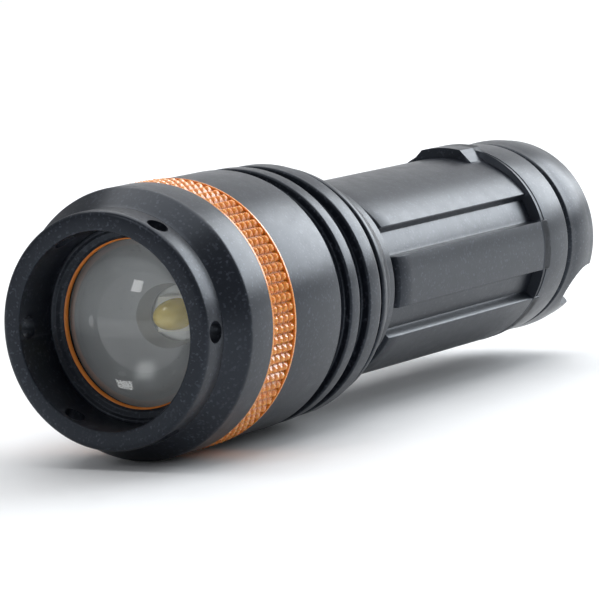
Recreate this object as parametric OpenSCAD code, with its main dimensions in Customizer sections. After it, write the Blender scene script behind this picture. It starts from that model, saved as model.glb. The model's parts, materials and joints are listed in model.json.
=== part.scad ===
// Zoom-head hand torch with a tail switch, lying on its side.
// Every piece is drawn along its own axis from the bezel face (z = 0) to the
// tail rim, then laid down so that the light points along -Y and +Z is up.

/* [Head] */
// Radius of the head, the widest part of the torch
head_r = 20; // [18:0.5:24]
// Where the flare reaches full width behind the bezel
flare_end = 7.9; // [7.6:0.1:8.5]
// Front edge of the grip ring
grip_front = 13.8; // [13.6:0.1:14.2]
// Width of the grip ring
grip_w = 6.6; // [5:0.1:7]
// Rear edge of the sliding head
head_end = 46.4; // [46:0.1:47]
// How far the head slides forward to focus the beam
focus_travel = 7; // [3:0.5:7]

/* [Bezel and lens] */
// Radius of the bezel collar
bezel_r = 17.3; // [17:0.1:17.6]
// Radius of the bezel's straight bore
bezel_bore_r = 14.4; // [14.2:0.1:14.6]
// Length of the bezel collar in front of the flare
bezel_len = 4.4; // [4.2:0.1:5]
// Number of round holes through the bezel collar
bezel_holes = 6; // [3:1:8]
// Radius of each bezel hole
bezel_hole_r = 1.6; // [1:0.1:1.8]
// Radius of the lens
lens_r = 13.7; // [13:0.1:14]
// Radius of the lens's curved front
lens_curve_r = 17; // [15:0.5:22]

/* [Body] */
// Radius of the body tube between the raised pads
tube_r = 14.3; // [14.2:0.1:14.4]
// Radius over the pads at the sides and underneath
pad_r = 15.9; // [15.5:0.1:15.9]
// Height of the flatter top pad above the torch's axis
top_pad_h = 14.65; // [14.5:0.05:15.5]
// Angle that each wide pad covers, above and below
wide_pad_angle = 114; // [100:1:120]
// Angle that each narrow side pad covers
side_pad_angle = 28.5; // [20:0.5:34]
// Front edge of the pads
pad_front = 57.3; // [57:0.1:60]
// Rear edge of the pads, where the tube flares to the tail cap
pad_end = 107; // [104:0.1:107.5]
// Width of the raised lug across its top
lug_w = 6.2; // [5:0.1:8]
// Radius over the lug
lug_top = 16.25; // [16.1:0.05:16.5]

/* [Tail] */
// Front edge of the tail cap
cap_front = 110.8; // [110.6:0.1:111]
// Overall length of the torch
torch_len = 125.5; // [125:0.1:127]
// Radius of the tail cap
cap_r = 15.7; // [15.6:0.1:16]
// Where the first finger cut-out in the tail rim sits, clockwise from the top
crown_angle = 125; // [0:1:180]
// Width of each finger cut-out
crown_w = 8; // [6:0.5:10]
// Travel of the tail switch
switch_travel = 1.5; // [1:0.1:1.5]

/* [Hidden] */
$fn = 96;

anodised = [0.10, 0.11, 0.13];
amber = [0.93, 0.50, 0.16];
steel = [0.75, 0.76, 0.78];
brass = [0.80, 0.65, 0.30];
rubber_black = [0.06, 0.06, 0.06];
bare_metal = [0.70, 0.71, 0.73];
board_white = [0.92, 0.92, 0.90];
board_green = [0.10, 0.35, 0.18];
plastic_black = [0.13, 0.13, 0.14];
cut = 1;              // how far a cutter runs past the face that it opens
fit_gap = 0.05;       // radial running clearance
seat_gap = 0.02;      // gap between faces that rest on each other

// Head, from the front
shell_r = head_r - 0.1;      // in front of the grip ring, just under its crests
grip_rear_r = head_r - 0.35; // the plain barrel behind the grip ring
ring_floor_r = 18.4;
knurl_rows = 4;
knurl_columns = 82;
knurl_lip = 0.4;
knurl_gap = 0.35;
knurl_valley_r = head_r - 0.7;
bezel_spigot_r = 16;
bezel_end = 12.8;
bezel_hole_z = 2.35;
stop_bore_r = 16.95;
guide_r = 15.95;
barrel_r = guide_r - fit_gap - seat_gap;
barrel_front = 15.5;
stop_front = 16.4;
stop_w = 1;
stop_shoulder = stop_front + stop_w + focus_travel + 0.1;
fin_1 = [33.7, 36.8];        // first groove, front and rear
fin_2 = [39.5, 42.7];        // second groove
land_r = [head_r - 0.5, head_r - 0.7]; // behind each groove
fin_floor_r = [18.3, 17.9];

// Lens stack
retainer_front = 7.7;
gasket_z = 9.3;
gasket_wire_r = 0.55;
gasket_r = 12.75;
lens_edge_front = 9.9;
lens_back = 11.8;
lens_ledge_r = 12.6;
lens_window_r = 12.3;        // where the lens's curved front starts

// Light engine
pill_r = 13.45;
pill_front = 18;
pill_end = 42.4;
board_t = 1.5;
emitter_w = 3.5;
emitter_t = 0.7;
cup_front = 13.8;
driver_t = 1.6;

// Body tube
neck_bore_r = 13.5;
tube_front = 45.2;
spigot_r = 14.25;
barrel_end = 56.6;
barrel_groove = [50, 51.2];  // front and rear of the groove for the seal inside the barrel
cone_front = 48;
cone_r = 18.6;
bore_r = 13.4;
tail_thread_r = 14.55;
tail_thread_end = 114.2;
tail_groove = [111.6, 112.6]; // front and rear of the groove for the tail seal
flare_r = 16;
lug_front = 101.2;
top_pad_edge = [12.95, 8.41];   // where the top pad ends, across and up from the axis
top_pad_rise = top_pad_h - top_pad_edge[1];
top_pad_r = (pow(top_pad_edge[0], 2) + pow(top_pad_rise, 2)) / (2 * top_pad_rise);
pad_bevel = 2.6;             // degrees that a pad's edge leans in

// Battery carrier with four AAA cells
carrier_start = 48.6;
carrier_plate = 2.6;
cell_len = 44.2;
cell_nub = 1.1;
cell_r = 5.2;
cell_pitch_r = 7.45;
carrier_r = 13.1;
carrier_len = 2 * carrier_plate + cell_len + cell_nub + 4 * seat_gap;
carrier_end = carrier_start + carrier_len;

// Tail cap and switch
cap_bore_r = tail_thread_r + fit_gap;
cap_wall = [114.6, 117.6];   // front and rear of the wall that holds the boot
cap_recess_r = 12.8;
crown_z = 122.4;             // middle of the round bottom of each finger cut-out
boss_r = 12.9;
boss_bore_r = 11.9;
boss_front = 105.9;
switch_r = boss_bore_r - seat_gap;
boot_hole_r = 7.2;
boot_flange_r = 9.4;
boot_flange = 1.4;
boot_top = 120.6;
plunger_r = 2.6;
plunger_end = 118.9;
switch_front = 107.95;
switch_back = 111.3;
wire_r = 0.45;
coil_sides = 8;
coil_rings_per_turn = 14;

// ---------- helpers ----------

// Lays a piece drawn along +z down along +Y, resting on z = 0.
module lie() {
    translate([0, -torch_len / 2, head_r]) rotate([-90, 0, 0]) children();
}

// Turns a feature drawn on the -y side to an angle clockwise from the top.
module at_angle(a) {
    rotate([0, 0, a]) children();
}

module tube(outer, inner, from, to) {
    difference() {
        translate([0, 0, from]) cylinder(r = outer, h = to - from);
        translate([0, 0, from - cut]) cylinder(r = inner, h = to - from + 2 * cut);
    }
}

module disc(r, from, to) {
    translate([0, 0, from]) cylinder(r = r, h = to - from);
}

module o_ring(r, wire, z) {
    rotate_extrude() translate([r, z]) circle(r = wire, $fn = 32);
}

// Points of a quarter arc, from angle a to angle b, round a centre.
function arc(centre, r, a, b, steps = 8) =
    [for (i = [0:steps]) centre + r * [cos(a + (b - a) * i / steps), sin(a + (b - a) * i / steps)]];

// Round wire swept along a conical coil.
module coil(r_from, r_to, z_from, z_to, turns) {
    rings = round(turns * coil_rings_per_turn);
    pts = [for (i = [0:rings]) let (t = i / rings, a = 360 * turns * t,
               r = r_from + (r_to - r_from) * t, z = z_from + (z_to - z_from) * t)
           for (k = [0:coil_sides - 1]) let (b = 360 * k / coil_sides, q = r + wire_r * cos(b))
               [q * cos(a), q * sin(a), z + wire_r * sin(b)]];
    sides = [for (i = [0:rings - 1]) for (k = [0:coil_sides - 1])
             let (n = (k + 1) % coil_sides, p = i * coil_sides, q = p + coil_sides)
             [p + k, p + n, q + n, q + k]];
    first = [for (k = [coil_sides - 1:-1:0]) k];
    last = [for (k = [0:coil_sides - 1]) rings * coil_sides + k];
    polyhedron(points = pts, faces = concat([first], sides, [last]), convexity = 10);
}

module cell_places() {
    for (i = [0:3]) rotate([0, 0, 45 + 90 * i]) translate([cell_pitch_r, 0, 0]) children();
}

// ---------- body ----------

// A raised pad: a sector of a bevelled sleeve.
module pad(angle) {
    half = angle / 2;
    reach = pad_r + 4;
    root = tube_r - 1.5;
    lean = half - pad_bevel;
    intersection() {
        rotate_extrude() polygon([[root, pad_front], [tube_r, pad_front], [pad_r, pad_front + 0.9],
                                  [pad_r, pad_end + 1], [root, pad_end + 1]]);
        translate([0, 0, pad_front - cut]) linear_extrude(pad_end - pad_front + 3)
            polygon(concat([[0, 0]],
                [for (a = [-half, -half / 2, 0, half / 2, half])
                    if (abs(a) == half) root * 1.02 * [sin(a), -cos(a)]
                    else reach * 1.6 * [sin(a * lean / half), -cos(a * lean / half)]]));
    }
}

// A block with sides that lean in at 45 degrees, from the top pad into the rear flare.
module lug() {
    foot = lug_w / 2 + lug_top - bore_r;
    intersection() {
        disc(lug_top, lug_front, cap_front - 0.2);
        translate([0, 0, lug_front - cut]) linear_extrude(cap_front - lug_front + cut)
            polygon([[-foot, -bore_r], [-lug_w / 2, -lug_top], [lug_w / 2, -lug_top], [foot, -bore_r]]);
    }
}

module body_tube() {
    color(anodised) lie() difference() {
        union() {
            rotate_extrude() polygon(concat(
                [[bore_r, tube_front], [spigot_r, tube_front], [spigot_r, barrel_end + 0.05],
                 [tube_r, barrel_end + 0.05], [tube_r, pad_end - 1.5]],
                arc([flare_r, pad_end - 1.5], flare_r - tube_r, 180, 100, 6),
                [[flare_r, cap_front - 0.15], [tail_thread_r, cap_front - 0.15],
                 [tail_thread_r, tail_thread_end], [bore_r, tail_thread_end]]));
            intersection() {
                pad(wide_pad_angle);
                translate([0, top_pad_r - top_pad_h, pad_front - cut])
                    cylinder(r = top_pad_r, h = pad_end - pad_front + 3);
            }
            at_angle(180) pad(wide_pad_angle);
            for (a = [90, 270]) at_angle(a) pad(side_pad_angle);
            lug();
        }
        translate([0, 0, tube_front - cut]) cylinder(r = bore_r, h = torch_len);
        tube(tail_thread_r + cut, tail_thread_r - 0.7, tail_groove[0], tail_groove[1]);
    }
}

module slide_barrel() {
    color(anodised) lie() rotate_extrude() polygon([
        [pill_r, barrel_front], [barrel_r - 0.4, barrel_front], [barrel_r, barrel_front + 0.4],
        [barrel_r, stop_front], [barrel_r - 0.9, stop_front],
        [barrel_r - 0.9, stop_front + stop_w + 0.04], [barrel_r, stop_front + stop_w + 0.04],
        for (z = [29.4, 35.4])
            each [[barrel_r, z], [barrel_r - 1.5, z], [barrel_r - 1.5, z + 1.6], [barrel_r, z + 1.6]],
        [barrel_r, cone_front], [cone_r - 0.4, cone_front], [cone_r, cone_front + 0.4],
        [cone_r, cone_front + 1.1], [16.1, 54.2], [15.7, 54.8], [15.7, barrel_end],
        [spigot_r + seat_gap, barrel_end], [spigot_r + seat_gap, barrel_groove[1]],
        [spigot_r + 0.9, barrel_groove[1]], [spigot_r + 0.9, barrel_groove[0]],
        [spigot_r + seat_gap, barrel_groove[0]], [spigot_r + seat_gap, tube_front],
        [neck_bore_r, tube_front], [neck_bore_r, pill_front + 4], [pill_r, pill_front + 4]]);
}

module stop_ring() {
    color(steel) lie() difference() {
        tube(stop_bore_r - fit_gap, barrel_r - 0.88, stop_front + seat_gap, stop_front + stop_w);
        translate([-1.5, 0, stop_front - cut]) cube([3, 20, 3]);
    }
}

module slide_seals() {
    color(rubber_black) lie() for (z = [30.2, 36.2]) o_ring(barrel_r - 0.73, 0.74, z);
}

module barrel_seal() {
    color(rubber_black) lie() o_ring(spigot_r + 0.45, 0.43, (barrel_groove[0] + barrel_groove[1]) / 2);
}

module tail_seal() {
    color(rubber_black) lie() o_ring(tail_thread_r - 0.33, 0.34, (tail_groove[0] + tail_groove[1]) / 2);
}

// ---------- light engine ----------

module led_pill() {
    color(bare_metal) lie() difference() {
        disc(pill_r - seat_gap, pill_front, pill_end);
        disc(pill_r - 2, pill_front + 4, pill_end + cut);
        for (a = [60, 240]) rotate([0, 0, a]) translate([8.5, 0, pill_front - cut]) cylinder(r = 1, h = 8);
        for (a = [0, 180]) rotate([0, 0, a]) translate([8.5, 0, pill_front - cut]) cylinder(r = 0.9, h = 8);
    }
}

module led_board() {
    color(board_white) lie() difference() {
        disc(10, pill_front - board_t, pill_front - seat_gap);
        for (a = [0:60:300]) rotate([0, 0, a])
            translate([10, 0, pill_front - board_t - cut]) cylinder(r = 1.6, h = 4);
        for (a = [0, 180]) rotate([0, 0, a])
            translate([8.5, 0, pill_front - board_t - cut]) cylinder(r = 1.1, h = 4);
    }
}

module led_emitter() {
    color([0.95, 0.93, 0.85]) lie()
        translate([-emitter_w / 2, -emitter_w / 2, pill_front - board_t - emitter_t])
        cube([emitter_w, emitter_w, emitter_t - seat_gap]);
}

module led_dome() {
    top = pill_front - board_t - emitter_t - seat_gap;
    color([0.98, 0.86, 0.35]) lie() intersection() {
        translate([0, 0, top]) sphere(r = 1.6);
        disc(3, top - 3, top);
    }
}

module led_cup() {
    color([0.93, 0.93, 0.92]) lie() rotate_extrude() polygon([
        [2.8, 16.1], [3.4, 15.2], [7.6, 14.2], [9.6, cup_front], [pill_r - 0.5, cup_front],
        [pill_r - 0.5, 15.4], [10.4, 16.0], [10.4, pill_front - seat_gap],
        [10.05, pill_front - seat_gap], [10.05, 16.3], [2.8, 16.3]]);
}

module board_screws() {
    color(steel) lie() for (a = [0, 180]) rotate([0, 0, a])
        translate([8.5, 0, 0]) disc(0.88, pill_front - board_t, pill_front + 3.8);
}

module driver_board() {
    color(board_green) lie() disc(12.6, pill_end + seat_gap, pill_end + driver_t);
}

module driver_chips() {
    top = pill_end;
    color(plastic_black) lie() {
        translate([-3, -2, top - 1.6]) cube([5, 4, 1.6]);
        translate([4, -5, top - 2.4]) cube([4, 3, 2.4]);
        translate([-6, 4, top - 3.5]) cylinder(r = 2.6, h = 3.5);
    }
}

module front_spring() {
    from = pill_end + driver_t + wire_r + seat_gap;
    color(brass) lie() coil(5, 3.4, from, carrier_start - 0.35 - wire_r - seat_gap, 3);
}

// ---------- battery carrier ----------

module carrier_front() {
    color(plastic_black) lie() difference() {
        disc(carrier_r, carrier_start, carrier_start + carrier_plate);
        disc(4.1, carrier_start - cut, carrier_start + 1.2);
    }
}

module carrier_rear() {
    color(plastic_black) lie() difference() {
        disc(carrier_r, carrier_end - carrier_plate, carrier_end);
        disc(6.1, carrier_end - 1.2, carrier_end + cut);
    }
}

module carrier_frame() {
    from = carrier_start + carrier_plate + seat_gap;
    color(plastic_black) lie() difference() {
        disc(carrier_r, from, carrier_end - carrier_plate - seat_gap);
        translate([0, 0, from - cut]) cell_places() {
            cylinder(r = cell_r + 0.1, h = carrier_len);
            translate([0, -4.6, 0]) cube([8, 9.2, carrier_len]);
        }
    }
}

module carrier_contacts() {
    color(brass) lie() {
        disc(4, carrier_start - 0.35, carrier_start + 1.18);
        disc(6, carrier_end - 1.18, carrier_end + 0.2);
    }
}

module cells() {
    from = carrier_start + carrier_plate + 2 * seat_gap + cell_nub;
    color([0.45, 0.47, 0.50]) lie() cell_places() disc(cell_r, from, from + cell_len - 0.06);
}

module cell_buttons() {
    from = carrier_start + carrier_plate + 2 * seat_gap;
    color(steel) lie() cell_places() disc(2.2, from, from + cell_nub - seat_gap);
}

// ---------- sliding head ----------

module head_shell() {
    edge = 0.35;
    color(anodised) lie() rotate_extrude() polygon(concat(
        [[bezel_spigot_r + seat_gap, bezel_len + 0.04], [bezel_r, bezel_len + 0.04]],
        arc([bezel_r + 0.9, bezel_len - 0.2], 0.9, 165, 135, 3),
        arc([shell_r - 0.6, flare_end + 0.1], 0.6, -50, 0, 4),
        [[shell_r, grip_front - 0.3], [shell_r - 0.25, grip_front - 0.05], [ring_floor_r, grip_front - 0.05],
         [ring_floor_r, grip_front + grip_w + 0.05], [grip_rear_r - 0.2, grip_front + grip_w + 0.05],
         [grip_rear_r, grip_front + grip_w + 0.25],
         [grip_rear_r, fin_1[0] - edge], [grip_rear_r - edge, fin_1[0]], [fin_floor_r[0], fin_1[0] + 0.3],
         [fin_floor_r[0], fin_1[1] - 0.3], [land_r[0] - edge, fin_1[1]], [land_r[0], fin_1[1] + edge],
         [land_r[0], fin_2[0] - edge], [land_r[0] - edge, fin_2[0]], [fin_floor_r[1], fin_2[0] + 0.3],
         [fin_floor_r[1], fin_2[1] - 0.3], [land_r[1] - edge, fin_2[1]], [land_r[1], fin_2[1] + edge],
         [land_r[1], head_end - 0.6], [land_r[1] - 0.6, head_end],
         [guide_r, head_end], [guide_r, stop_shoulder],
         [stop_bore_r, stop_shoulder], [stop_bore_r, 13.4], [bezel_spigot_r + seat_gap, 13.4]]));
}

// Rows of pointed teeth on a sleeve, with a low lip at each end.
module grip_ring() {
    first_row = grip_front + knurl_lip + knurl_gap;
    row_pitch = (grip_w - 2 * knurl_lip - knurl_gap) / knurl_rows;
    teeth = [for (i = [0:knurl_columns - 1]) each [
        let (a = 360 * i / knurl_columns) head_r * [sin(a), cos(a)],
        let (a = 360 * (i + 0.5) / knurl_columns) knurl_valley_r * [sin(a), cos(a)]]];
    color(amber) lie() difference() {
        union() {
            disc(knurl_valley_r - 0.1, grip_front, grip_front + grip_w);
            for (z = [grip_front, grip_front + grip_w - knurl_lip])
                disc(knurl_valley_r + 0.35, z, z + knurl_lip);
            for (i = [0:knurl_rows - 1])
                translate([0, 0, first_row + row_pitch * i])
                    linear_extrude(row_pitch - knurl_gap) polygon(teeth);
        }
        disc(ring_floor_r + seat_gap, grip_front - cut, grip_front + grip_w + cut);
    }
}

module bezel() {
    color(anodised) lie() difference() {
        rotate_extrude() polygon([
            [bezel_bore_r + 0.2, 0], [bezel_r - 0.9, 0], [bezel_r - 0.25, 0.25], [bezel_r, 0.8],
            [bezel_r, bezel_len], [bezel_spigot_r, bezel_len], [bezel_spigot_r, bezel_end],
            [lens_ledge_r - 0.2, bezel_end], [lens_ledge_r - 0.2, lens_back + seat_gap],
            [bezel_bore_r, lens_back + seat_gap], [bezel_bore_r, 0.2]]);
        for (i = [0:bezel_holes - 1]) at_angle(30 + 360 / bezel_holes * i)
            translate([0, -bezel_bore_r + 2, bezel_hole_z])
            rotate([90, 0, 0]) cylinder(r = bezel_hole_r, h = 6);
        tube(bezel_spigot_r + cut, bezel_spigot_r - 0.9, 10.4, 11.7);
    }
}

module bezel_seal() {
    color(rubber_black) lie() o_ring(bezel_spigot_r - 0.46, 0.44, 11.05);
}

// Plano-convex lens: a flat back, a short edge and a bulging front.
module lens() {
    dome_centre = lens_edge_front + sqrt(pow(lens_curve_r, 2) - pow(lens_window_r, 2));
    half = asin(lens_window_r / lens_curve_r);
    color([0.85, 0.90, 0.93, 0.45]) lie() rotate_extrude() polygon(concat(
        arc([0, dome_centre], lens_curve_r, -90, -90 + half, 16),
        [[lens_r, lens_edge_front], [lens_r, lens_back], [0, lens_back]]));
}

module lens_gasket() {
    color(amber) lie() o_ring(gasket_r, gasket_wire_r, gasket_z);
}

module lens_retainer() {
    color(anodised) lie() difference() {
        rotate_extrude() polygon([
            [bezel_bore_r - seat_gap, retainer_front], [bezel_bore_r - 0.5, retainer_front],
            [bezel_bore_r - 0.8, retainer_front + 0.5], [lens_window_r + 0.5, retainer_front + 0.6],
            [lens_window_r + 0.1, retainer_front + 1], [gasket_r + gasket_wire_r + 0.05, retainer_front + 1],
            [gasket_r + gasket_wire_r + 0.05, lens_edge_front - seat_gap],
            [bezel_bore_r - seat_gap, lens_edge_front - seat_gap]]);
        for (a = [0, 180]) rotate([0, 0, a])
            translate([13.4, -0.6, retainer_front - cut]) cube([2, 1.2, 1.6]);
    }
}

// ---------- tail ----------

module spring_cup() {
    color(brass) lie() difference() {
        disc(6.4, 105.6, 106.85);
        disc(5.9, 105, 106.25);
    }
}

module tail_spring() {
    color(brass) lie() coil(4.2, 5.3, carrier_end + 0.2 + wire_r + seat_gap, 106.25 - wire_r - seat_gap, 4);
}

module crown_cut(a) {
    at_angle(a) translate([0, 0, crown_z]) {
        translate([0, -8, 0]) rotate([90, 0, 0]) cylinder(r = crown_w / 2, h = 12);
        translate([-crown_w / 2, -20, 0]) cube([crown_w, 12, 6]);
    }
}

module tail_cap() {
    color(anodised) lie() difference() {
        rotate_extrude() polygon(concat(
            [[cap_bore_r, cap_front], [cap_r - 0.6, cap_front], [cap_r - 0.1, cap_front + 0.5],
             [cap_r - 0.1, 114.5], [cap_r - 0.8, 114.8], [cap_r - 0.8, 115.6], [cap_r - 0.2, 116.1]],
            arc([cap_r - 20, 119.5], 20, -8, 11, 6),
            arc([cap_r - 2, torch_len - 1.6], 1.6, 10, 90, 6),
            [[cap_recess_r, torch_len], [cap_recess_r, cap_wall[1]], [boot_hole_r, cap_wall[1]],
             [boot_hole_r, cap_wall[0]], [boss_bore_r, cap_wall[0]], [boss_bore_r, boss_front],
             [boss_r, boss_front], [boss_r, cap_wall[0]], [cap_bore_r, cap_wall[0]]]));
        for (a = [crown_angle, crown_angle + 180]) crown_cut(a);
    }
}

module switch_board() {
    color(board_green) lie() disc(switch_r, 106.95, switch_front - seat_gap);
}

module switch_body() {
    color(plastic_black) lie() difference() {
        disc(switch_r, switch_front, switch_back);
        disc(plunger_r + fit_gap, switch_back - switch_travel - 0.3, switch_back + cut);
    }
}

module switch_spacer() {
    color(plastic_black) lie()
        tube(switch_r, boot_flange_r + 0.1, switch_back + seat_gap, cap_wall[0] - seat_gap);
}

module switch_retainer() {
    color(brass) lie() difference() {
        tube(switch_r, 8, boss_front, 106.93);
        for (a = [0, 180]) rotate([0, 0, a]) translate([9.9, 0, boss_front - cut]) cylinder(r = 0.8, h = 3);
    }
}

module switch_boot() {
    flange_end = cap_wall[0] - seat_gap;
    top_r = boot_hole_r - fit_gap;
    color(rubber_black) lie() rotate_extrude() polygon(concat(
        [[0, plunger_end + seat_gap], [plunger_r + 1.6, plunger_end + seat_gap],
         [plunger_r + 2.4, flange_end - boot_flange], [boot_flange_r, flange_end - boot_flange],
         [boot_flange_r, flange_end], [top_r, flange_end]],
        arc([top_r - 1.2, boot_top - 1.4], 1.2, 0, 80, 5),
        [[0, boot_top]]));
}

module switch_plunger() {
    color([0.85, 0.85, 0.82]) lie() disc(plunger_r, switch_back, plunger_end);
}

body_tube();
slide_barrel();
stop_ring();
slide_seals();
barrel_seal();
tail_seal();
led_pill();
led_board();
led_emitter();
led_dome();
led_cup();
board_screws();
driver_board();
driver_chips();
front_spring();
carrier_front();
carrier_frame();
carrier_rear();
carrier_contacts();
cells();
cell_buttons();
head_shell();
grip_ring();
bezel();
bezel_seal();
lens();
lens_gasket();
lens_retainer();
spring_cup();
tail_spring();
tail_cap();
switch_board();
switch_body();
switch_spacer();
switch_retainer();
switch_boot();
switch_plunger();
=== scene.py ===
"""Looks for the zoom-head hand torch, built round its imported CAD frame."""
import json
import math

import bmesh
import bpy
import numpy as np
from mathutils import Matrix, Vector


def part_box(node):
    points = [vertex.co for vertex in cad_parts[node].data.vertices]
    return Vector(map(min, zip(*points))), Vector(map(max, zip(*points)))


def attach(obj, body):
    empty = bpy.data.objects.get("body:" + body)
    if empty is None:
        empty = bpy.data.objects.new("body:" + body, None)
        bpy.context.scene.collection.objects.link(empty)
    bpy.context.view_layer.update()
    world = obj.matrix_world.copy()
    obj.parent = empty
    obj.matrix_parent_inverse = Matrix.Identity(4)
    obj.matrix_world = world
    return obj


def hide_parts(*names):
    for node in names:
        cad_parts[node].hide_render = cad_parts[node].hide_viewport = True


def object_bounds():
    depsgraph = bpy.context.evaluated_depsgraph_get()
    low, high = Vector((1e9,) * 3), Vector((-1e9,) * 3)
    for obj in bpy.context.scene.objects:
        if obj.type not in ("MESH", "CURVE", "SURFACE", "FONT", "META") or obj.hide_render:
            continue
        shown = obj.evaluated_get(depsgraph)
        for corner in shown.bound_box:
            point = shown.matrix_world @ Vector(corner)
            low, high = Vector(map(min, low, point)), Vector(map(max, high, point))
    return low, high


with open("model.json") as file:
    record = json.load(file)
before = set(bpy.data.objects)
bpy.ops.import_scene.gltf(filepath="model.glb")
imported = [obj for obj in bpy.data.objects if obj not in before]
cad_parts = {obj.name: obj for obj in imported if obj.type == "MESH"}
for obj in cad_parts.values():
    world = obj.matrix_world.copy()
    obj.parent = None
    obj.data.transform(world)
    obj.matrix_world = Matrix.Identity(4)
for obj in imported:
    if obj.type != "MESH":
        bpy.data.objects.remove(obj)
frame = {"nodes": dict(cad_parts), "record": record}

MM = 0.001
CAD_LOW, CAD_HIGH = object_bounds()
NODES = frame["nodes"]
AXIS_Z = (CAD_LOW.z + CAD_HIGH.z) / 2
FRONT_Y = CAD_LOW.y
HEAD_R = (CAD_HIGH.x - CAD_LOW.x) / 2 / MM
TURN = 2 * math.pi


# ---------- where the CAD pieces are, in millimetres along the axis ----------

def span(node):
    """Front and rear of a CAD node, measured from the bezel face."""
    low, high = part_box(node)
    return (low.y - FRONT_Y) / MM, (high.y - FRONT_Y) / MM


def reach(node):
    """Outer radius of a CAD node that is round about the axis."""
    low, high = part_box(node)
    return (high.x - low.x) / 2 / MM


BEZEL_BACK = span("bezel")[1]
SHELL_FRONT, SHELL_BACK = span("head_shell")
RING_FRONT, RING_BACK = span("grip_ring")
RETAINER_FRONT, RETAINER_BACK = span("lens_retainer")
LENS_FRONT, LENS_BACK = span("lens")
BARREL_FRONT, BARREL_BACK = span("slide_barrel")
TUBE_FRONT, TUBE_BACK = span("body_tube")
CAP_FRONT, CAP_BACK = span("tail_cap")
BOOT_BACK = span("switch_boot")[1]


# ---------- mesh helpers ----------

def finish_mesh(name, mesh, body, replaced, material, smooth_angle=32):
    """Wraps a mesh as a piece that rides on a body and stands for CAD nodes."""
    piece = bpy.data.objects.new(name, mesh)
    bpy.context.scene.collection.objects.link(piece)
    mesh.materials.clear()
    mesh.materials.append(material)
    mesh.polygons.foreach_set("use_smooth", [True] * len(mesh.polygons))
    mesh.set_sharp_from_angle(angle=math.radians(smooth_angle))
    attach(piece, body)
    if replaced:
        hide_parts(*replaced)
    return piece


def place(radius, along, angle):
    """A point at a radius, a distance from the bezel face and an angle clockwise from the top."""
    across = radius * MM
    return Vector((across * math.sin(angle), FRONT_Y + along * MM, AXIS_Z + across * math.cos(angle)))


def rounded(outline, steps=4):
    """Closed outline of (radius, along, rounding) with each corner eased over that distance."""
    points = []
    count = len(outline)
    for i, (r, s, ease) in enumerate(outline):
        here = Vector((r, s))
        if not ease:
            points.append(here)
            continue
        before = Vector(outline[i - 1][:2]) - here
        after = Vector(outline[(i + 1) % count][:2]) - here
        back = min(ease, before.length * 0.48, after.length * 0.48)
        start = here + before.normalized() * back
        end = here + after.normalized() * back
        for t in [k / steps for k in range(steps + 1)]:
            points.append(start * (1 - t) ** 2 + here * (2 * t * (1 - t)) + end * t ** 2)
    return points


def lathe_mesh(name, points, segments=160):
    """Revolves a closed outline about the torch's axis."""
    mesh = bpy.data.meshes.new(name)
    bm = bmesh.new()
    rings = []
    for point in points:
        radius, along = point[0], point[1]
        if radius < 1e-6:
            rings.append([bm.verts.new(place(0, along, 0))])
        else:
            rings.append([bm.verts.new(place(radius, along, TURN * k / segments))
                          for k in range(segments)])
    for i, ring in enumerate(rings):
        other = rings[(i + 1) % len(rings)]
        if len(ring) == 1 and len(other) == 1:
            continue
        for k in range(segments):
            n = (k + 1) % segments
            corners = [ring[k % len(ring)], ring[n % len(ring)],
                       other[n % len(other)], other[k % len(other)]]
            unique = [v for j, v in enumerate(corners) if v not in corners[:j]]
            bm.faces.new(unique)
    bmesh.ops.recalc_face_normals(bm, faces=bm.faces)
    bm.to_mesh(mesh)
    bm.free()
    return mesh


def cylinder_object(name, radius, start, end, segments=48):
    """A plain cylinder between two points, used only as a cutter."""
    axis = end - start
    mesh = bpy.data.meshes.new(name)
    bm = bmesh.new()
    turn = axis.to_track_quat("Z", "Y").to_matrix().to_4x4()
    bmesh.ops.create_cone(bm, cap_ends=True, segments=segments, radius1=radius, radius2=radius,
                          depth=axis.length, matrix=Matrix.Translation((start + end) / 2) @ turn)
    bm.to_mesh(mesh)
    bm.free()
    tool = bpy.data.objects.new(name, mesh)
    bpy.context.scene.collection.objects.link(tool)
    return tool


def apply_modifiers(piece):
    """Bakes a piece's modifiers into its mesh."""
    bpy.context.view_layer.update()
    graph = bpy.context.evaluated_depsgraph_get()
    made = bpy.data.meshes.new_from_object(piece.evaluated_get(graph), preserve_all_data_layers=True,
                                           depsgraph=graph)
    old = piece.data
    piece.modifiers.clear()
    piece.data = made
    bpy.data.meshes.remove(old)
    made.name = piece.name
    return piece


def cut(piece, tools):
    """Cuts tools from a piece and removes the tools."""
    for tool in tools:
        step = piece.modifiers.new("cut", "BOOLEAN")
        step.operation = "DIFFERENCE"
        step.solver = "EXACT"
        step.object = tool
    apply_modifiers(piece)
    for tool in tools:
        bpy.data.objects.remove(tool)
    return piece


def soften(piece, width, angle=40, segments=2):
    """Rounds a piece's hard edges and keeps its wide faces evenly shaded."""
    bevel = piece.modifiers.new("bevel", "BEVEL")
    bevel.width = width * MM
    bevel.segments = segments
    bevel.limit_method = "ANGLE"
    bevel.angle_limit = math.radians(angle)
    bevel.harden_normals = True
    apply_modifiers(piece)
    return piece


# ---------- material helpers ----------

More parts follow.
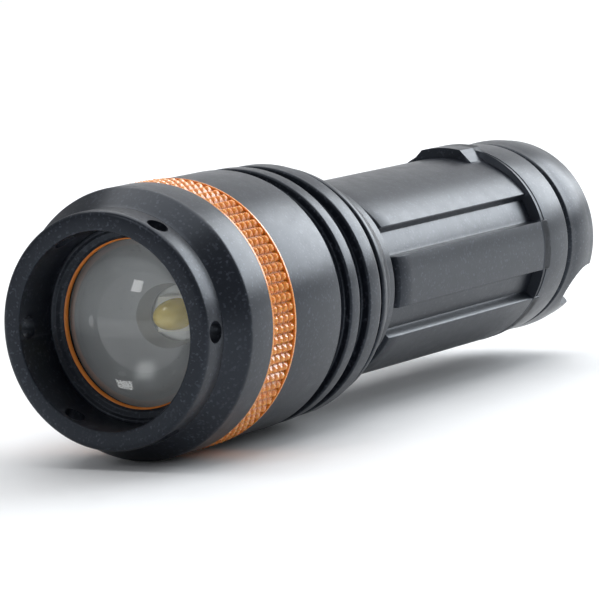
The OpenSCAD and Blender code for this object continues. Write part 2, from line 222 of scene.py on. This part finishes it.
class Paint:
    """A material's node tree, with short calls for the nodes that the finishes share."""

    def __init__(self, name):
        self.material = bpy.data.materials.new(name)
        self.material.use_nodes = True
        self.tree = self.material.node_tree
        self.shader = self.tree.nodes["Principled BSDF"]
        self.place = self.tree.nodes.new("ShaderNodeTexCoord").outputs["Object"]

    def set(self, **values):
        for name, value in values.items():
            self.shader.inputs[name.replace("_", " ")].default_value = value
        return self

    def link(self, source, socket):
        self.tree.links.new(source, self.shader.inputs[socket])

    def node(self, kind, **values):
        made = self.tree.nodes.new(kind)
        for name, value in values.items():
            setattr(made, name, value)
        return made

    def noise(self, scale, detail=3.0, stretch=(1, 1, 1)):
        """Noise whose scale is in cells per millimetre."""
        mapping = self.node("ShaderNodeMapping")
        mapping.inputs["Scale"].default_value = [1000 * s for s in stretch]
        self.tree.links.new(self.place, mapping.inputs["Vector"])
        made = self.node("ShaderNodeTexNoise")
        made.inputs["Scale"].default_value = scale
        made.inputs["Detail"].default_value = detail
        self.tree.links.new(mapping.outputs["Vector"], made.inputs["Vector"])
        return made.outputs["Fac"]

    def cells(self, scale):
        """Random cells whose scale is in cells per millimetre."""
        mapping = self.node("ShaderNodeMapping")
        mapping.inputs["Scale"].default_value = [1000] * 3
        self.tree.links.new(self.place, mapping.inputs["Vector"])
        made = self.node("ShaderNodeTexVoronoi")
        made.inputs["Scale"].default_value = scale
        self.tree.links.new(mapping.outputs["Vector"], made.inputs["Vector"])
        return made

    def ramp(self, factor, stops):
        made = self.node("ShaderNodeValToRGB")
        ends = made.color_ramp.elements
        while len(ends) < len(stops):
            ends.new(0.5)
        for end, (at, value) in zip(ends, stops):
            end.position = at
            end.color = (value, value, value, 1) if isinstance(value, float) else (*value, 1)
        self.tree.links.new(factor, made.inputs["Fac"])
        return made.outputs["Color"]

    def mix(self, factor, first, second):
        made = self.node("ShaderNodeMix", data_type="RGBA")
        for source, index in ((factor, 0), (first, 6), (second, 7)):
            if isinstance(source, (tuple, float)):
                made.inputs[index].default_value = source if isinstance(source, float) else (*source, 1)
            else:
                self.tree.links.new(source, made.inputs[index])
        return made.outputs[2]

    def bump(self, height, strength, distance):
        """Adds a bump of a given depth in millimetres, over any bump already there."""
        made = self.node("ShaderNodeBump")
        made.inputs["Strength"].default_value = strength
        made.inputs["Distance"].default_value = distance * MM
        self.tree.links.new(height, made.inputs["Height"])
        socket = self.shader.inputs["Normal"]
        if socket.is_linked:
            self.tree.links.new(socket.links[0].from_socket, made.inputs["Normal"])
        self.tree.links.new(made.outputs["Normal"], socket)

    def edge_wear(self):
        """White where the surface turns over a sharp outer edge."""
        point = self.node("ShaderNodeNewGeometry").outputs["Pointiness"]
        return self.ramp(point, [(0.53, 0.0), (0.60, 1.0)])


# ---------- materials ----------

def shade(tint, scale, lift=0.0):
    """A colour scaled, and lifted by an even amount."""
    return tuple(min(1, c * scale + lift) for c in tint)


def anodised():
    """Satin black anodising over blasted aluminium: faint handling marks, and a fine sparkle painted as pale
    specks in the base colour.
    """
    dark = (0.0050, 0.0062, 0.0098)
    paint = Paint("black_anodised")
    paint.set(IOR=1.44)
    grain = paint.noise(7.0, 2.0)
    cloud = paint.noise(0.12, 4.0)
    speck = paint.cells(3.2)
    # painted glints: random pale specks in the base colour stand in for the sparkle of the blasted metal
    painted_sparkle = paint.ramp(speck.outputs["Color"], [(0.70, dark), (0.97, shade(dark, 6.0, 0.04))])
    tone = paint.mix(paint.ramp(cloud, [(0.3, 0.0), (0.7, 1.0)]), shade(dark, 0.88), shade(dark, 1.12))
    base = paint.mix(0.5, tone, painted_sparkle)
    worn = paint.mix(paint.edge_wear(), base, shade(dark, 2.0, 0.012))
    paint.link(worn, "Base Color")
    paint.link(paint.ramp(paint.noise(0.5, 5.0), [(0.25, 0.28), (0.75, 0.36)]), "Roughness")
    paint.set(Specular_Tint=(0.78, 0.87, 1.0, 1))
    paint.bump(grain, 0.35, 0.02)
    return paint.material


def amber():
    """Translucent amber moulding, with painted shade deep in its valleys and a painted highlight pale on its
    points.
    """
    paint = Paint("amber_plastic")
    paint.set(IOR=1.49, Coat_Weight=0.35, Coat_Roughness=0.12, Subsurface_Weight=0.35,
              Subsurface_Scale=0.0008, Transmission_Weight=0.08)
    height = paint.node("ShaderNodeAttribute", attribute_name="height").outputs["Fac"]
    # painted shade and highlight: the colour runs from dark brown in the knurl valleys to pale orange on the
    # points, set by knurl height
    valley_shade_peak_highlight = paint.ramp(height, [(0.0, (0.33, 0.085, 0.010)), (0.45, (0.74, 0.24, 0.030)),
                               (1.0, (0.96, 0.46, 0.10))])
    swirl = paint.ramp(paint.noise(0.6, 4.0), [(0.3, 0.0), (0.75, 1.0)])
    paint.link(paint.mix(swirl, valley_shade_peak_highlight, paint.mix(0.5, valley_shade_peak_highlight, (0.80, 0.30, 0.05))), "Base Color")
    paint.link(paint.ramp(paint.noise(3.0, 4.0), [(0.3, 0.22), (0.7, 0.34)]), "Roughness")
    paint.bump(paint.noise(5.0, 3.0), 0.25, 0.02)
    return paint.material


def glass():
    """Polished glass with the faintest waviness and dust."""
    paint = Paint("clear_glass")
    paint.set(IOR=1.50, Transmission_Weight=1.0, Base_Color=(0.97, 0.985, 0.98, 1))
    dust = paint.cells(0.9)
    paint.link(paint.ramp(dust.outputs["Distance"], [(0.02, 0.10), (0.06, 0.0)]), "Roughness")
    paint.bump(paint.noise(0.15, 1.0), 0.05, 0.01)
    return paint.material


def metal(name, tint, rough, turned=0.0, grain=2.0):
    """Bare metal with tool marks round the axis where turned is set."""
    paint = Paint(name)
    paint.set(Metallic=1.0)
    stretch = (0.2, 1, 0.2) if turned else (1, 1, 1)
    marks = paint.noise(grain, 4.0, stretch)
    worn = paint.ramp(marks, [(0.3, 0.0), (0.7, 1.0)])
    paint.link(paint.mix(worn, shade(tint, 0.85), tint), "Base Color")
    paint.link(paint.ramp(marks, [(0.3, rough * 0.8), (0.7, min(1.0, rough * 1.3))]), "Roughness")
    paint.bump(marks, 0.3, 0.02 + turned)
    return paint.material


def plain(name, tint, rough, grain=3.0, depth=0.02, coat=0.0, spread=0.12):
    """Moulded plastic, rubber or board lacquer with a fine surface grain."""
    paint = Paint(name)
    paint.set(IOR=1.48, Coat_Weight=coat, Coat_Roughness=0.15)
    marks = paint.ramp(paint.noise(grain * 0.2, 4.0), [(0.3, 0.0), (0.7, 1.0)])
    paint.link(paint.mix(marks, shade(tint, 1 - spread), shade(tint, 1 + spread)), "Base Color")
    polish = paint.ramp(paint.noise(grain, 3.0), [(0.3, rough * 0.9), (0.7, min(1.0, rough * 1.1))])
    paint.link(polish, "Roughness")
    paint.bump(paint.noise(grain, 3.0), 0.4, depth)
    return paint.material


BLACK = anodised()
AMBER = amber()
GLASS = glass()
RUBBER = plain("black_rubber", (0.022, 0.022, 0.024), 0.62, 4.0, 0.03)
FINISHES = {
    "anodised": BLACK,
    "amber_plastic": AMBER,
    "clear_lens": GLASS,
    "spring_steel": metal("spring_steel", (0.60, 0.61, 0.63), 0.28, 0.02),
    "seal_rubber": RUBBER,
    "bare_aluminium": metal("bare_aluminium", (0.80, 0.81, 0.82), 0.32, 0.03),
    "board_white": plain("board_white", (0.86, 0.86, 0.84), 0.30, 2.0, 0.01, 0.3, 0.03),
    "emitter_ceramic": plain("emitter_ceramic", (0.90, 0.88, 0.80), 0.40, 4.0, 0.01, 0.1, 0.04),
    "led_phosphor": plain("led_phosphor", (0.95, 0.72, 0.16), 0.22, 6.0, 0.01, 0.6, 0.06),
    # painted shade: the white cup is given a mid grey so the inside of the head reads dark behind the lens
    "cup_white": plain("cup_white", (0.40, 0.41, 0.42), 0.30, 2.0, 0.01, 0.3, 0.03),
    "steel": metal("nickel_steel", (0.70, 0.70, 0.69), 0.30, 0.01, 3.0),
    "board_green": plain("board_green", (0.02, 0.16, 0.06), 0.34, 2.0, 0.015, 0.4, 0.15),
    "black_plastic": plain("black_plastic", (0.028, 0.028, 0.030), 0.52, 3.5, 0.03),
    "gold_brass": metal("gold_brass", (0.86, 0.64, 0.28), 0.24, 0.01, 3.0),
    "cell_jacket": plain("cell_jacket", (0.24, 0.27, 0.31), 0.30, 1.5, 0.01, 0.4, 0.08),
    "amber_rubber": plain("amber_rubber", (0.78, 0.24, 0.035), 0.40, 3.0, 0.02, 0.1, 0.10),
    "boot_rubber": RUBBER,
    "switch_white": plain("switch_white", (0.80, 0.80, 0.76), 0.42, 3.0, 0.01, 0.0, 0.04),
}


def paint_cad_nodes():
    """Gives every CAD node that stays in view its slot's finish."""
    for row in frame["record"]["subparts"]:
        node = NODES[row["node"]]
        node.data.materials.clear()
        node.data.materials.append(FINISHES[row["material_slot"]])


# ---------- head ----------

def make_bezel():
    """Nose ring with a rounded front edge and six drain holes."""
    outer = reach("bezel")
    bore, ledge, spigot = 14.4, 12.4, 16.0
    hole_r, hole_at, holes = 1.6, 2.35, 6
    collar_end = SHELL_FRONT - 0.04
    lens_seat = LENS_BACK + 0.02
    outline = [(bore, 0, 0.25), (outer, 0, 0.85), (outer, collar_end, 0.05), (spigot, collar_end, 0),
               (spigot, BEZEL_BACK, 0.2), (ledge, BEZEL_BACK, 0.1), (ledge, lens_seat, 0),
               (bore, lens_seat, 0)]
    piece = finish_mesh("bezel_ring", lathe_mesh("bezel_ring", rounded(outline)), "head",
                        ["bezel"], BLACK)
    turns = [TURN * (i + 0.5) / holes for i in range(holes)]
    tools = [cylinder_object("hole", hole_r * MM, place(bore - 2, hole_at, turn),
                             place(outer + 2, hole_at, turn)) for turn in turns]
    cut(piece, tools)
    return soften(piece, 0.10)


def make_shell():
    """Sliding head: flare, plain barrel with a seat for the grip ring, and two deep grooves."""
    front, rear = reach("head_shell"), HEAD_R - 0.35
    lands = (HEAD_R - 0.5, HEAD_R - 0.7)
    flare_end, seat = 7.81, 18.4
    grooves = ((33.7, 36.8, 18.3), (39.5, 42.7, 17.9))
    collar, spigot_bore, spigot_end = 17.3, 16.02, 13.4
    stop_bore, guide_bore, shoulder = 16.95, 15.95, 24.5
    ring_gap = 0.05
    outline = [(spigot_bore, SHELL_FRONT, 0), (collar, SHELL_FRONT, 0),
               (collar + 0.25, SHELL_FRONT + 0.4, 0.25), (front, flare_end, 0.45),
               (front, RING_FRONT - ring_gap, 0.2), (seat, RING_FRONT - ring_gap, 0),
               (seat, RING_BACK + ring_gap, 0), (rear, RING_BACK + ring_gap, 0.2)]
    for start, end, floor, before, after in zip(*zip(*grooves), (rear, lands[0]), lands):
        outline += [(before, start, 0.4), (floor, start + 0.05, 0.3), (floor, end - 0.05, 0.3),
                    (after, end, 0.4)]
    outline += [(lands[1], SHELL_BACK, 0.7), (guide_bore, SHELL_BACK, 0), (guide_bore, shoulder, 0),
                (stop_bore, shoulder, 0), (stop_bore, spigot_end, 0), (spigot_bore, spigot_end, 0)]
    return finish_mesh("head_barrel", lathe_mesh("head_barrel", rounded(outline, 5), 224), "head",
                       ["head_shell"], BLACK)


def make_grip_ring():
    """Amber ring with four rows of pyramid knurling between two plain lips."""
    columns, rows, fine = 82, 4, 6
    lip, top, valley, floor = 0.45, HEAD_R - 0.03, 19.3, 18.42
    row_w = (RING_BACK - RING_FRONT - 2 * lip) / rows
    around = columns * fine
    lip_r, edge_r, ease = top - 0.15, top - 0.25, 0.08
    steps = [(RING_FRONT, edge_r, 0.5), (RING_FRONT + ease, lip_r, 0.6),
             (RING_FRONT + lip - ease, lip_r, 0.6)]
    heights = [(RING_FRONT + lip + row_w * k / fine, k / fine % 1) for k in range(rows * fine + 1)]
    ends = [(RING_BACK - lip + ease, lip_r, 0.6), (RING_BACK - ease, lip_r, 0.6), (RING_BACK, edge_r, 0.5)]
    mesh = bpy.data.meshes.new("knurled_ring")
    bm = bmesh.new()
    # knurl height on each vertex; the amber paint turns it into painted shade in the valleys and a painted
    # highlight on the points
    level = bm.verts.layers.float.new("height")

    def ring(along, radius_at):
        made = []
        for k in range(around):
            radius, high = radius_at(k / fine % 1)
            vert = bm.verts.new(place(radius, along, TURN * k / around))
            vert[level] = high
            made.append(vert)
        return made

    def pyramid(across):
        def radius_at(t):
            rise = 2 * min(t, 1 - t, across, 1 - across)
            rise = min(rise, 0.86) / 0.86
            return valley + (top - valley) * rise, rise
        return radius_at

    rings = [ring(s, lambda t, r=r, h=h: (r, h)) for s, r, h in steps]
    rings += [ring(s, pyramid(across)) for s, across in heights]
    rings += [ring(s, lambda t, r=r, h=h: (r, h)) for s, r, h in ends]
    rings += [ring(RING_BACK, lambda t: (floor, 0.2)), ring(RING_FRONT, lambda t: (floor, 0.2))]
    for i, first in enumerate(rings):
        second = rings[(i + 1) % len(rings)]
        for k in range(around):
            n = (k + 1) % around
            bm.faces.new((first[k], first[n], second[n], second[k]))
    bmesh.ops.recalc_face_normals(bm, faces=bm.faces)
    bm.to_mesh(mesh)
    bm.free()
    return finish_mesh("knurled_ring", mesh, "head", ["grip_ring"], AMBER, 28)


def make_lens():
    """Plano-convex lens with a smooth dome."""
    window = 12.3
    edge = 9.9
    rise = edge - LENS_FRONT
    curve = (window ** 2 + rise ** 2) / (2 * rise)
    half = math.asin(window / curve)
    steps = 40
    dome = [(curve * math.sin(half * k / steps), LENS_FRONT + curve * (1 - math.cos(half * k / steps)))
            for k in range(steps + 1)]
    points = dome + [(reach("lens"), edge), (reach("lens"), LENS_BACK), (0, LENS_BACK)]
    return finish_mesh("lens_glass", lathe_mesh("lens_glass", points), "head", ["lens"],
                       GLASS, 25)


def make_retainer():
    """Threaded ring that clamps the gasket and lens."""
    outer = reach("lens_retainer")
    lip_r, lip_edge, gasket_room = 12.4, 12.8, 13.35
    outline = [(outer, RETAINER_FRONT, 0.05), (outer - 0.45, RETAINER_FRONT, 0.12),
               (outer - 0.8, RETAINER_FRONT + 0.5, 0.1), (lip_edge, RETAINER_FRONT + 0.6, 0.1),
               (lip_r, RETAINER_FRONT + 1, 0.08), (gasket_room, RETAINER_FRONT + 1, 0),
               (gasket_room, RETAINER_BACK, 0), (outer, RETAINER_BACK, 0)]
    return finish_mesh("retainer_ring", lathe_mesh("retainer_ring", rounded(outline)), "head",
                       ["lens_retainer"], BLACK)


# ---------- body ----------

def make_barrel():
    """Barrel that the head slides on, with its cone at the rear."""
    r = reach("slide_seals") - 0.02
    pill_bore, pill_end, neck_bore = 13.45, 22, 13.5
    collar, collar_r, collar_w = 48, 18.6, 1.1
    cone_end, cone_end_r, end_r, spigot_bore = 54.2, 16.1, 15.7, 14.27
    seal_front, seal_back, seal_floor = 50, 51.2, 15.15
    stop_front, stop_back, stop_depth = 16.4, 17.44, 0.9
    slide_seal_w, slide_seal_depth = 1.6, 1.5
    outline = [(pill_bore, BARREL_FRONT, 0.1), (r, BARREL_FRONT, 0.4), (r, stop_front, 0),
               (r - stop_depth, stop_front, 0), (r - stop_depth, stop_back, 0), (r, stop_back, 0)]
    for start in (29.4, 35.4):
        end = start + slide_seal_w
        floor = r - slide_seal_depth
        outline += [(r, start, 0.1), (floor, start, 0), (floor, end, 0), (r, end, 0.1)]
    outline += [(r, collar, 0), (collar_r, collar, 0.4), (collar_r, collar + collar_w, 0.8),
                (cone_end_r, cone_end, 1.2), (end_r, cone_end + 0.7, 0.5), (end_r, BARREL_BACK, 0.12),
                (spigot_bore, BARREL_BACK, 0), (spigot_bore, seal_back, 0), (seal_floor, seal_back, 0),
                (seal_floor, seal_front, 0), (spigot_bore, seal_front, 0), (spigot_bore, TUBE_FRONT, 0),
                (neck_bore, TUBE_FRONT, 0), (neck_bore, pill_end, 0), (pill_bore, pill_end, 0)]
    return finish_mesh("neck_barrel", lathe_mesh("neck_barrel", rounded(outline), 192), "body",
                       ["slide_barrel"], BLACK)


def smooth_step(low, high, value):
    t = min(1, max(0, (value - low) / (high - low)))
    return t * t * (3 - 2 * t)


TUBE_R, PAD_R, PAD_FRONT = 14.3, 15.9, 57.3
TOP_PAD_R, TOP_PAD_DROP = 16.56, 1.91    # radius over the top pad, and how far its centre is below the axis
WIDE_PAD, SIDE_PAD = 57.0, 14.25         # half angles of the pads, in degrees
FLARE_FRONT, FLARE_R, FLARE_FILLET = 105.5, 16.0, 1.7
LUG_FRONT, LUG_TOP = 101.2, 16.25        # front face of the lug, and its radius
LUG_FOOT = 19.35                         # height plus half width of its sides, which lean at 45 degrees
LUG_CORNER, LUG_EDGE = 12.35, 30.0       # degrees from the top where its sides begin, and past their end
LUG_WALL = 0.12                          # length over which its front face rises


def tube_radius(angle, along):
    """Outer radius of the padded tube at an angle in degrees from the top."""
    bevel, front_wall, flare_rise = 0.6, 0.9, 3.4
    pad_r = PAD_R
    turned = (angle + 180) % 360 - 180
    off_top = min(abs(turned), 180 - abs(turned))
    off_side = abs(90 - abs(turned))
    if abs(turned) < 60:
        tilt = math.radians(turned)
        below = TOP_PAD_DROP * math.cos(tilt)
        pad_r = min(pad_r, math.sqrt(TOP_PAD_R ** 2 - (TOP_PAD_DROP * math.sin(tilt)) ** 2) - below)
    inside = max((WIDE_PAD - off_top), (SIDE_PAD - off_side)) * math.radians(1) * pad_r
    pad = smooth_step(-bevel, 0.05, inside) * smooth_step(PAD_FRONT, PAD_FRONT + front_wall, along)
    flare = TUBE_R
    if along > FLARE_FRONT:
        past = along - FLARE_FRONT
        flare = FLARE_R - math.sqrt(FLARE_FILLET ** 2 - min(past, FLARE_FILLET * 0.985) ** 2)
        flare += (FLARE_R - flare) * min(1, max(0, (past - FLARE_FILLET) / flare_rise))
    radius = max(TUBE_R + (pad_r - TUBE_R) * pad, flare)
    if abs(turned) < LUG_EDGE:
        tilt = abs(math.radians(turned))
        lug = min(LUG_TOP, LUG_FOOT / (math.cos(tilt) + math.sin(tilt)))
        rise = smooth_step(LUG_FRONT, LUG_FRONT + LUG_WALL, along)
        radius = max(radius, radius + (lug - radius) * rise)
    return radius


def tube_angles():
    """Angles of the tube's lengthwise edges: even ones, and close ones at each pad and lug edge."""
    even = {round(a, 3) for a in np.arange(0, 360, 3.0)}
    pads = {round((sign * (edge - step) + centre) % 360, 3)
            for centre, edge in ((0, WIDE_PAD), (180, WIDE_PAD), (90, SIDE_PAD), (270, SIDE_PAD))
            for sign in (-1, 1) for step in np.linspace(-2.4, 0.6, 9)}
    lug = {round(sign * (LUG_CORNER + step) % 360, 3) for sign in (-1, 1)
           for step in (-0.3, 0.0, 0.4, 3.8, 6.7, 8.3, 9.4, 10.3)}
    return sorted(even | pads | lug)


def make_tube():
    """Battery tube with two wide and two narrow raised pads, a lug on top, and its rear flare."""
    bore, spigot, shoulder = 13.4, 14.25, 56.65
    thread, groove_floor, groove = 14.55, 13.85, (111.6, 112.6)
    outer_end = CAP_FRONT - 0.15
    angles = tube_angles()
    alongs = [shoulder, 57.2, *np.linspace(57.3, 58.2, 9), *np.linspace(62, 100.8, 9),
              LUG_FRONT, LUG_FRONT + LUG_WALL / 2, LUG_FRONT + LUG_WALL,
              *np.linspace(105.5, 107.2, 9), *np.linspace(107.8, outer_end - 0.3, 4)]
    mesh = bpy.data.meshes.new("padded_tube")
    bm = bmesh.new()

    def ring(along, radius=None):
        return [bm.verts.new(place(radius or tube_radius(a, along), along, math.radians(a))) for a in angles]

    rings = [ring(TUBE_FRONT, bore), ring(TUBE_FRONT, spigot), ring(shoulder, spigot)]
    rings += [ring(s) for s in alongs]
    rings += [ring(outer_end - 0.06, FLARE_R - 0.05), ring(outer_end, FLARE_R - 0.2), ring(outer_end, thread),
              ring(groove[0], thread), ring(groove[0], groove_floor), ring(groove[1], groove_floor),
              ring(groove[1], thread), ring(TUBE_BACK - 0.3, thread), ring(TUBE_BACK, thread - 0.3),
              ring(TUBE_BACK, bore)]
    for i, first in enumerate(rings):
        second = rings[(i + 1) % len(rings)]
        for k in range(len(angles)):
            n = (k + 1) % len(angles)
            bm.faces.new((first[k], first[n], second[n], second[k]))
    bmesh.ops.recalc_face_normals(bm, faces=bm.faces)
    bm.to_mesh(mesh)
    bm.free()
    return finish_mesh("padded_tube", mesh, "body", ["body_tube"], BLACK, 38)


# ---------- tail ----------

def prism(name, outline, low, high, angle):
    """A solid whose outline, as (height, along), faces an angle and runs across the torch there."""
    mesh = bpy.data.meshes.new(name)
    bm = bmesh.new()
    up = Vector((math.sin(angle), 0, math.cos(angle))) * MM
    across = Vector((math.cos(angle), 0, -math.sin(angle))) * MM
    base = Vector((0, FRONT_Y, AXIS_Z))
    sides = [[bm.verts.new(base + up * h + across * w + Vector((0, s * MM, 0))) for h, s in outline]
             for w in (low, high)]
    bm.faces.new(sides[0])
    bm.faces.new(list(reversed(sides[1])))
    count = len(outline)
    for k in range(count):
        n = (k + 1) % count
        bm.faces.new((sides[0][n], sides[0][k], sides[1][k], sides[1][n]))
    bmesh.ops.recalc_face_normals(bm, faces=bm.faces)
    bm.to_mesh(mesh)
    bm.free()
    made = bpy.data.objects.new(name, mesh)
    bpy.context.scene.collection.objects.link(made)
    return made


def half_turn(centre, radius, start, steps=12):
    """Points of a half circle about (height, along), from a start angle."""
    return [(centre[0] + radius * math.cos(start + math.pi * k / steps),
             centre[1] + radius * math.sin(start + math.pi * k / steps)) for k in range(steps + 1)]


def make_cap():
    """Tail cap with a lip, a fine groove, a rounded rim and two finger cut-outs."""
    r = reach("tail_cap")
    curve, widest, lip_r = 20, 119.5, 1.6
    bore, recess, boss, boss_bore, boss_front = 14.6, 12.8, 12.9, 11.9, 105.9
    wall_front, wall_back, boot_hole = 114.6, 117.6, 7.2
    dome = [(r - curve + curve * math.cos(a), widest + curve * math.sin(a), 0)
            for a in np.radians(np.linspace(-8, 11, 9))]
    lip = [(r - 2 + lip_r * math.cos(a), CAP_BACK - lip_r + lip_r * math.sin(a), 0)
           for a in np.radians(np.linspace(10, 90, 8))]
    groove_front, groove_back, groove_floor = 114.8, 115.6, r - 0.8
    outline = [(bore, CAP_FRONT, 0), (r - 0.1, CAP_FRONT, 0.45), (r - 0.1, groove_front - 0.2, 0.3),
               (groove_floor, groove_front, 0.12), (groove_floor, groove_back, 0.12),
               (r - 0.2, groove_back + 0.4, 0.3), *dome, *lip, (recess, CAP_BACK, 0.3),
               (recess, wall_back, 0.3), (boot_hole, wall_back, 0.2), (boot_hole, wall_front, 0),
               (boss_bore, wall_front, 0), (boss_bore, boss_front, 0), (boss, boss_front, 0),
               (boss, wall_front, 0), (bore, wall_front, 0)]
    piece = finish_mesh("cap_shell", lathe_mesh("cap_shell", rounded(outline), 192), "tail_cap",
                        ["tail_cap"], BLACK)
    half, notch_at = 4.0, 122.4
    notch = half_turn((0, notch_at), half, math.pi) + [(half, CAP_BACK + 2), (-half, CAP_BACK + 2)]
    tools = [prism("notch", notch, 9, 21, math.radians(turn - 90)) for turn in (125, 305)]
    cut(piece, tools)
    return soften(piece, 0.12)


def make_boot():
    """Rubber switch boot with a shallow dish and a raised rim to find it by touch."""
    r = 7.15
    flange, flange_front, flange_back, plunger_end = 9.4, 113.18, 114.58, 118.92
    outline = [(0, plunger_end, 0), (4.2, plunger_end, 0), (5.0, flange_front, 0),
               (flange, flange_front, 0.1), (flange, flange_back, 0.1), (r, flange_back, 0),
               (r, BOOT_BACK - 0.5, 0.9),
               (r - 1.6, BOOT_BACK, 0.5), (r - 2.6, BOOT_BACK - 0.1, 0.5), (0, BOOT_BACK - 0.45, 0)]
    return finish_mesh("boot_rubber", lathe_mesh("boot_rubber", rounded(outline), 96), "switch_button",
                       ["switch_boot"], RUBBER)


# ---------- stage ----------

def make_camera():
    """Long lens in front of the head, to its right and a little above."""
    focus = Vector((0, FRONT_Y, AXIS_Z))
    look = Vector((-0.5094, 0.8524, -0.1183)).normalized()
    right = Vector((0.8604, 0.5070, -0.0516))
    right = (right - look * right.dot(look)).normalized()
    up = right.cross(look)
    data = bpy.data.cameras.new("camera")
    data.lens = 256.18
    data.sensor_width = 36
    data.clip_end = 20
    camera = bpy.data.objects.new("camera", data)
    turn = Matrix((right, up, -look)).transposed().to_4x4()
    camera.matrix_world = Matrix.Translation(focus + Vector((0.331969, -0.500758, 0.074585))) @ turn
    bpy.context.scene.collection.objects.link(camera)
    bpy.context.scene.camera = camera


def area_light(name, place_at, aim, width, height, power, tint=(1, 1, 1)):
    data = bpy.data.lights.new(name, "AREA")
    data.shape = "RECTANGLE"
    data.size = width
    data.size_y = height
    data.energy = power
    data.color = tint
    lamp = bpy.data.objects.new(name, data)
    lamp.location = place_at
    lamp.rotation_euler = (Vector(aim) - Vector(place_at)).to_track_quat("-Z", "Y").to_euler()
    bpy.context.scene.collection.objects.link(lamp)
    return lamp


def make_stage():
    """Pale floor that curves up behind the torch, and a pale sky."""
    floor_paint = plain("floor_paint", (0.86, 0.87, 0.88), 0.6, 0.2, 0.02, 0.0, 0.01)
    half, back, curve, top = 3.0, 1.6, 0.6, 2.4
    line = [(-3.0, 0.0), (back - curve, 0.0)]
    line += [(back - curve + curve * math.sin(a), curve - curve * math.cos(a))
             for a in np.linspace(0.15, math.pi / 2, 12)]
    line.append((back, top))
    mesh = bpy.data.meshes.new("floor")
    bm = bmesh.new()
    edges = [[bm.verts.new((x, y, z)) for y, z in line] for x in (-half, half)]
    for k in range(len(line) - 1):
        bm.faces.new((edges[0][k], edges[1][k], edges[1][k + 1], edges[0][k + 1]))
    bmesh.ops.recalc_face_normals(bm, faces=bm.faces)
    bm.to_mesh(mesh)
    bm.free()
    mesh.polygons.foreach_set("use_smooth", [True] * len(mesh.polygons))
    mesh.materials.append(floor_paint)
    floor = bpy.data.objects.new("floor", mesh)
    bpy.context.scene.collection.objects.link(floor)
    world = bpy.data.worlds.new("world")
    bpy.context.scene.world = world
    world.use_nodes = True
    sky = world.node_tree.nodes["Background"]
    sky.inputs["Color"].default_value = (0.95, 0.97, 1.0, 1)
    sky.inputs["Strength"].default_value = 0.32
    area_light("key", (0.42, 1.0, 0.52), (0, 0, 0.02), 0.8, 0.6, 10.5, (0.93, 0.97, 1.0))
    area_light("overhead", (-0.2, 0.5, 1.3), (-0.2, 0.4, 0), 1.8, 1.8, 24)
    area_light("front_window", (-0.25, -0.75, 0.45), (0, -0.06, 0.02), 0.16, 0.16, 0.5)
    bpy.context.scene.view_settings.view_transform = "Standard"


paint_cad_nodes()
make_bezel()
make_shell()
make_grip_ring()
make_lens()
make_retainer()
make_barrel()
make_tube()
make_cap()
make_boot()
make_camera()
make_stage()
